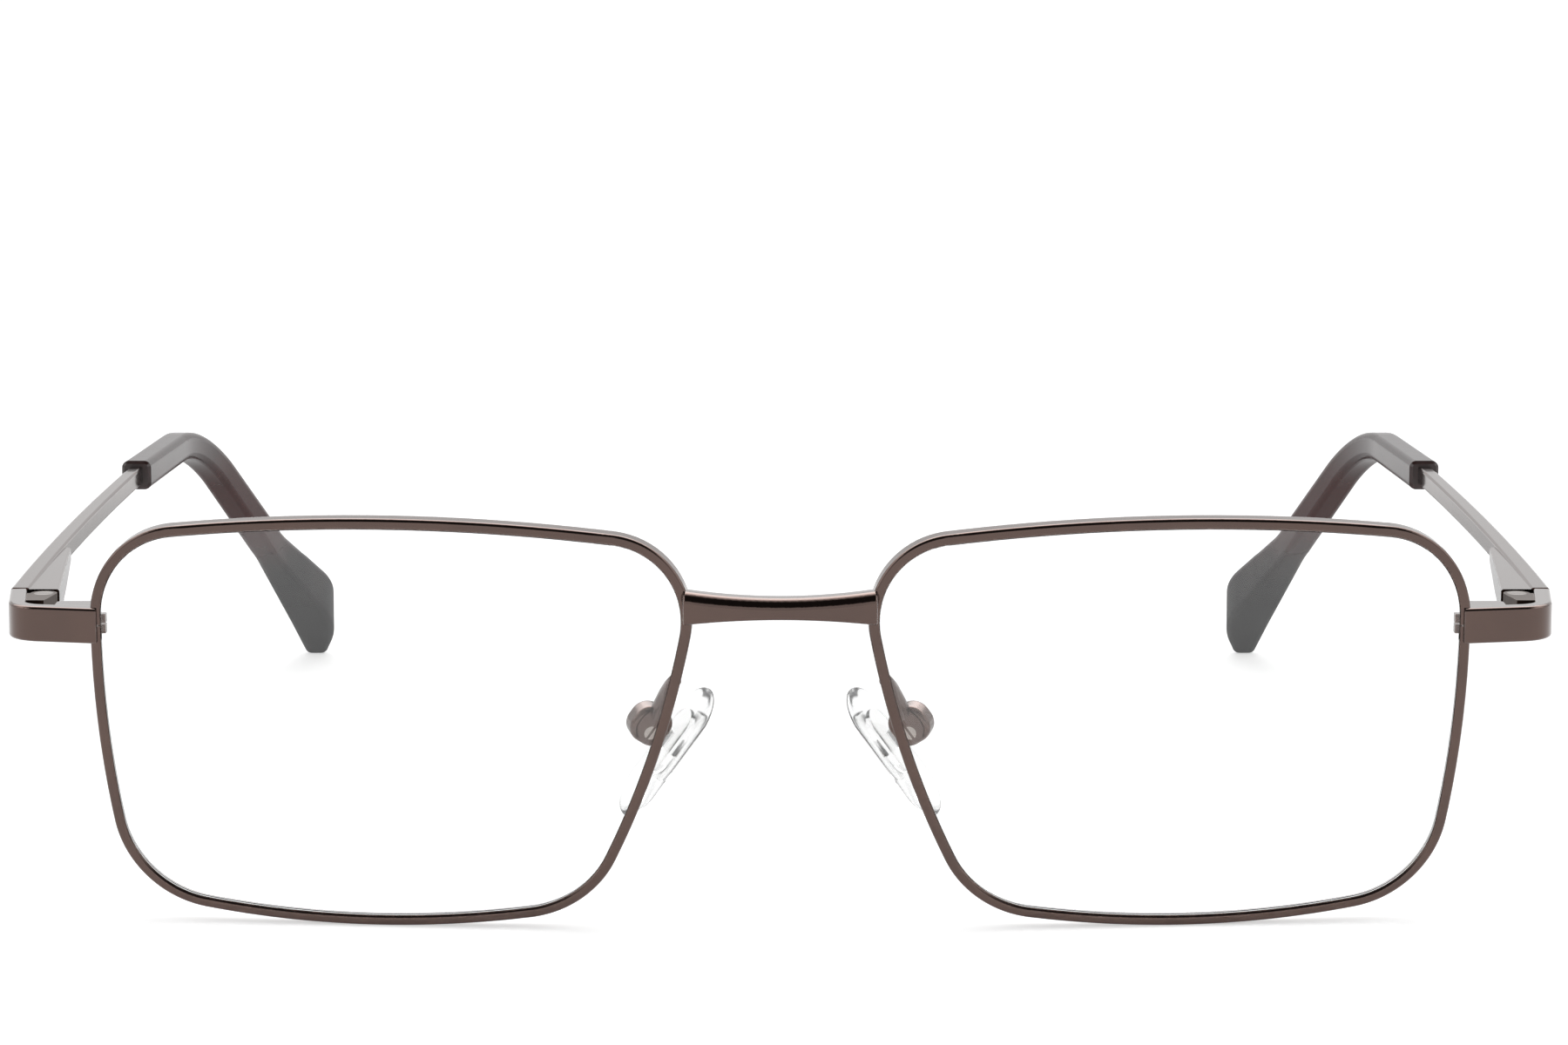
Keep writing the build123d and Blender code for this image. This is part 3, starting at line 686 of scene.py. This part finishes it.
@dataclass
class Hinges:
    """The forks, screws, sliders, housings and what they hold."""

    wardrobe: Wardrobe
    finishes: dict[str, Finish] = field(default_factory=lambda: {
        # the fork and slider get the darker brown of painted shade
        "hinge_fork": Finish.SHADED_JOINT,
        "spring_housing": Finish.PLATED,
        "hinge_screw": Finish.BARE,
        "hinge_slider": Finish.SHADED_JOINT,
        "hinge_bush": Finish.BARE,
        "slider_nut": Finish.BARE,
        "hinge_spring": Finish.SPRING,
    })

    def build(self) -> None:
        """Dresses every piece of both hinges."""
        for piece, finish in self.finishes.items():
            self.wardrobe.dress_pair(piece, finish)


@dataclass
class Temples:
    """The metal temple bars and their acetate tips."""

    wardrobe: Wardrobe

    def build(self) -> None:
        """Dresses the bars and the tips."""
        self.wardrobe.dress_pair("temple", Finish.PLATED)
        self.wardrobe.dress_pair("temple_tip", Finish.ACETATE)


@dataclass
class NosePads:
    """The pads: drop-shaped clear silicone with crowned faces, on metal arms."""

    wardrobe: Wardrobe
    frontal: float = math.radians(36.0)
    splay: float = math.radians(27.0)
    foot_radius: float = 3.0 * MILLIMETRE
    top_radius: float = 2.8 * MILLIMETRE
    skin: float = 0.02 * MILLIMETRE
    boxiness: float = 0.55
    foot_thinning: float = 0.35
    around: int = 96
    rings: int = 20

    def axes(self, sign: int) -> tuple[Vector, Vector, Vector]:
        """Finds the pad's own directions.

        Args:
            sign: One on the right, and minus one on the left.

        Returns:
            The directions across the pad, up it and out of its face towards the nose.
        """
        down = Vector((sign * math.sin(self.frontal), 0, -math.cos(self.frontal)))
        across = Vector((sign * math.sin(self.splay), math.cos(self.splay), 0))
        normal = across.cross(down).normalized() * sign
        return down.cross(normal).normalized(), -down, normal

    def outline(self, heading: float, length: float) -> tuple[float, float]:
        """Finds a point of the drop shape, a hull of the top circle and the foot circle.

        Args:
            heading: The direction in which the outline faces there, from straight up.
            length: The pad's length.

        Returns:
            The point across and up, from the pad's middle.
        """
        spread = length - self.top_radius - self.foot_radius
        on_top = math.cos(heading) > (self.top_radius - self.foot_radius) / spread
        radius = self.top_radius if on_top else self.foot_radius
        centre = length / 2 - self.top_radius if on_top else self.foot_radius - length / 2
        return radius * math.sin(heading), centre + radius * math.cos(heading)

    def shell(self, side: str) -> bpy.types.Mesh:
        """Models one pad: rings of its outline, from the face at the nose to the face at the arm.

        Args:
            side: Which side.

        Returns:
            Its mesh, in the row frame.
        """
        directions = self.axes(SIDES[side])
        points = [vertex.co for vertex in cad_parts[f"nose_pad_{side}"].data.vertices]
        spans = [(min(p.dot(d) for p in points), max(p.dot(d) for p in points)) for d in directions]
        middle = sum((d * (low + high) / 2 for d, (low, high) in zip(directions, spans)), Vector())
        length = spans[1][1] - spans[1][0]
        half = (spans[2][1] - spans[2][0]) / 2 - self.skin
        shape = bmesh.new()
        loops = []
        for ring in range(1, self.rings):
            turn = math.pi * ring / self.rings
            inset = math.sin(turn) ** self.boxiness
            loop = []
            for step in range(self.around):
                across, up = self.outline(2 * math.pi * step / self.around, length)
                thinned = 1 - self.foot_thinning * max(0.0, -up * inset * 2 / length)
                rise = math.cos(turn) * half * thinned
                place = directions[0] * across * inset + directions[1] * up * inset
                loop.append(shape.verts.new(middle + place + directions[2] * rise))
            loops.append(loop)
        for first, second in zip(loops, loops[1:]):
            for step in range(self.around):
                after = (step + 1) % self.around
                shape.faces.new((first[step], first[after], second[after], second[step]))
        shape.faces.new(loops[0])
        shape.faces.new(loops[-1])
        bmesh.ops.recalc_face_normals(shape, faces=shape.faces)
        mesh = bpy.data.meshes.new(f"pad_shell_{side}")
        shape.to_mesh(mesh)
        shape.free()
        return mesh

    def build(self) -> None:
        """Dresses the arms, screws and inserts, and makes the soft pads."""
        self.wardrobe.dress_pair("pad_arm", Finish.ARM)
        self.wardrobe.dress_pair("pad_screw", Finish.BARE)
        self.wardrobe.dress_pair("pad_insert", Finish.INSERT)
        for side in SIDES:
            name = f"silicone_pad_{side}"
            pad = new_piece(name, self.shell(side), self.wardrobe.material(Finish.SILICONE))
            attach(pad, f"pad_{side}")
            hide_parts(f"nose_pad_{side}")
            LOG.info("%s: %s", name, Finish.SILICONE.value.label)


@dataclass(frozen=True)
class SoftBox:
    """One square lamp."""

    name: str
    place: Vector
    size: float
    radiance: float

    def hang(self, aim: Vector) -> None:
        """Hangs the lamp.

        Args:
            aim: The point that it faces.
        """
        data = bpy.data.lights.new(self.name, "AREA")
        data.shape = "SQUARE"
        data.size = self.size
        data.energy = self.radiance * math.pi * self.size ** 2
        lamp = bpy.data.objects.new(self.name, data)
        lamp.location = self.place
        lamp.rotation_euler = (aim - self.place).to_track_quat("-Z", "Y").to_euler()
        bpy.context.scene.collection.objects.link(lamp)


@dataclass
class Studio:
    """A white table in soft, plain light, with a dim room in front of and above the object.

    The room's angles are in degrees, counted from the level direction in front, over the top, to the
    level direction behind.
    """

    ground: float
    table_half: float = 6.0
    table_colour: Rgb = (0.82, 0.82, 0.82)
    table_roughness: float = 0.9
    table_glow: float = 0.54
    table_mirror: float = 0.40
    # painted shade: round this point, under the tips, reflections of the table are darker
    shade_centre: float = 70.0 * MILLIMETRE
    shade_edges: tuple[float, float] = (80.0 * MILLIMETRE, 160.0 * MILLIMETRE)
    world_level: float = 0.86
    white: float = 1.0
    dim_level: float = 0.04
    dim_rise: tuple[float, float] = (12.0, 22.0)
    dim_fall: tuple[float, float] = (92.0, 78.0)
    dim_sides: tuple[float, float] = (0.85, 0.6)
    strip_level: float = 2.6
    strip_rise: tuple[float, float] = (94.0, 108.0)
    strip_fall: tuple[float, float] = (150.0, 132.0)
    onward_edges: tuple[float, float] = (0.72, 0.90)
    aim: Vector = field(default_factory=lambda: Vector((0.0, 0.0, 0.02)))
    soft_boxes: tuple[SoftBox, ...] = (
        SoftBox("back_softbox", Vector((0.0, 0.75, 0.9)), size=0.9, radiance=1.1),
        SoftBox("left_softbox", Vector((-1.1, -0.2, 0.55)), size=0.7, radiance=1.0),
        SoftBox("right_softbox", Vector((1.1, -0.2, 0.55)), size=0.7, radiance=1.0),
    )

    def floor(self) -> None:
        """Lays the table, which keeps shadows and is otherwise white."""
        mesh = bpy.data.meshes.new("table")
        signs = ((-1, -1), (1, -1), (1, 1), (-1, 1))
        corners = [(x * self.table_half, y * self.table_half, self.ground) for x, y in signs]
        mesh.from_pydata(corners, [], [(0, 1, 2, 3)])
        table = bpy.data.objects.new("table", mesh)
        bpy.context.scene.collection.objects.link(table)
        graph, shader = new_material("white_table")
        graph.fill(shader, {
            "Base Color": rgba(self.table_colour),
            "Roughness": self.table_roughness,
            "Specular IOR Level": 0.0,
            "Emission Color": rgba((self.white,) * 3),
            "Emission Strength": self.table_light(graph),
        })
        mesh.materials.append(bpy.data.materials["white_table"])
        table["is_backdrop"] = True

    def table_light(self, graph: Graph) -> bpy.types.NodeSocket:
        """Finds the table's own light. Near the tips, reflections see less of it: painted shade of the
        glasses on the table.

        Args:
            graph: The graph of the table's material.

        Returns:
            The output that carries its strength.
        """
        path = graph.add("LightPath", {}).outputs
        seen = graph.maths("MAXIMUM", path["Is Camera Ray"], path["Is Transmission Ray"])
        place = graph.add("TexCoord", {}).outputs["Object"]
        points = {0: place, 1: (0.0, self.shade_centre, self.ground)}
        distance = graph.add("VectorMath", points, operation="DISTANCE").outputs["Value"]
        # painted shade in reflections: glossy rays see a darker table within shade_edges of shade_centre,
        # where the tips stand
        clear = graph.ramp(distance, *self.shade_edges)
        mirrored = graph.product(path["Is Glossy Ray"], clear, self.table_mirror)
        return graph.maths("MAXIMUM", graph.product(seen, self.table_glow), mirrored)

    def room_light(self, graph: Graph) -> bpy.types.NodeSocket:
        """Finds the room's light: pale all round, dim in front and above, with a mirrored strip overhead.

        Args:
            graph: The world's graph.

        Returns:
            The output that carries its strength.
        """
        path = graph.add("LightPath", {}).outputs
        heading = graph.add("TexCoord", {}).outputs["Generated"]
        split = graph.add("SeparateXYZ", {0: heading}).outputs
        forward = graph.product(split["Y"], -1.0)
        angle = graph.maths("DEGREES", graph.maths("ARCTAN2", split["Z"], forward))
        centred = graph.ramp(graph.maths("ABSOLUTE", split["X"]), *self.dim_sides)
        dim = graph.product(graph.ramp(angle, *self.dim_rise), graph.ramp(angle, *self.dim_fall), centred)
        strip = graph.product(graph.ramp(angle, *self.strip_rise), graph.ramp(angle, *self.strip_fall))
        mirrored = graph.product(strip, centred, path["Is Glossy Ray"])
        room = graph.ramp(dim, 0.0, 1.0, self.world_level, self.dim_level)
        level = graph.maths("MULTIPLY_ADD", mirrored, self.strip_level, room)
        onward = graph.ramp(split["Y"], *self.onward_edges)
        through = graph.product(path["Is Transmission Ray"], onward)
        shown = graph.maths("MAXIMUM", path["Is Camera Ray"], through)
        return graph.add("Mix", {0: shown, 2: level, 3: self.white}, data_type="FLOAT").outputs[0]

    def world(self) -> None:
        """Fills the room with light."""
        world = bpy.data.worlds.new("soft_studio")
        bpy.context.scene.world = world
        world.use_nodes = True
        graph = Graph(world.node_tree)
        graph.tree.nodes.clear()
        inputs = {"Color": rgba((self.white,) * 3), "Strength": self.room_light(graph)}
        background = graph.add("Background", inputs)
        graph.add("OutputWorld", {"Surface": background.outputs[0]})

    def build(self) -> None:
        """Sets up the table, the room and the lamps."""
        self.floor()
        self.world()
        for soft_box in self.soft_boxes:
            soft_box.hang(self.aim)


@dataclass
class CameraStand:
    """The camera, at the place that the photograph was taken from.

    The lens is given as its focal length in pixels of an image that is image_width pixels wide, and
    centre_pixel is the column that the camera's axis meets.
    """

    box_front: float
    ground: float
    image_width: float = 1800.0
    focal_pixels: float = 5632.0
    centre_pixel: float = 895.7
    stand_off: float = 0.43776
    height: float = 0.11065
    pitch: float = math.radians(9.34)
    sensor: float = 36.0
    nearest: float = 0.01
    farthest: float = 50.0

    def build(self) -> None:
        """Sets up the camera."""
        data = bpy.data.cameras.new("camera")
        data.sensor_width = self.sensor
        data.sensor_fit = "HORIZONTAL"
        data.lens = self.focal_pixels * self.sensor / self.image_width
        data.shift_x = (self.image_width / 2 - self.centre_pixel) / self.image_width
        data.clip_start = self.nearest
        data.clip_end = self.farthest
        camera = bpy.data.objects.new("camera", data)
        camera.location = (0, self.box_front - self.stand_off, self.ground + self.height)
        camera.rotation_euler = (math.pi / 2 - self.pitch, 0, 0)
        bpy.context.scene.collection.objects.link(camera)
        bpy.context.scene.camera = camera


def box_lists(box: tuple[Vector, Vector]) -> list[list[float]]:
    """Turns a box's two corners into plain lists."""
    return [list(map(float, corner)) for corner in box]


def main() -> None:
    """Builds the scene."""
    logging.basicConfig(level=logging.INFO, format="%(name)s: %(message)s")
    cad_box = box_lists(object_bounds())
    scene = bpy.context.scene
    scene.view_settings.view_transform = "Standard"
    wardrobe = Wardrobe()
    for part in (Front(wardrobe), Hinges(wardrobe), Temples(wardrobe), NosePads(wardrobe)):
        part.build()
    Studio(ground=cad_box[0][2]).build()
    CameraStand(box_front=cad_box[0][1], ground=cad_box[0][2]).build()


if __name__ == "__main__":
    main()
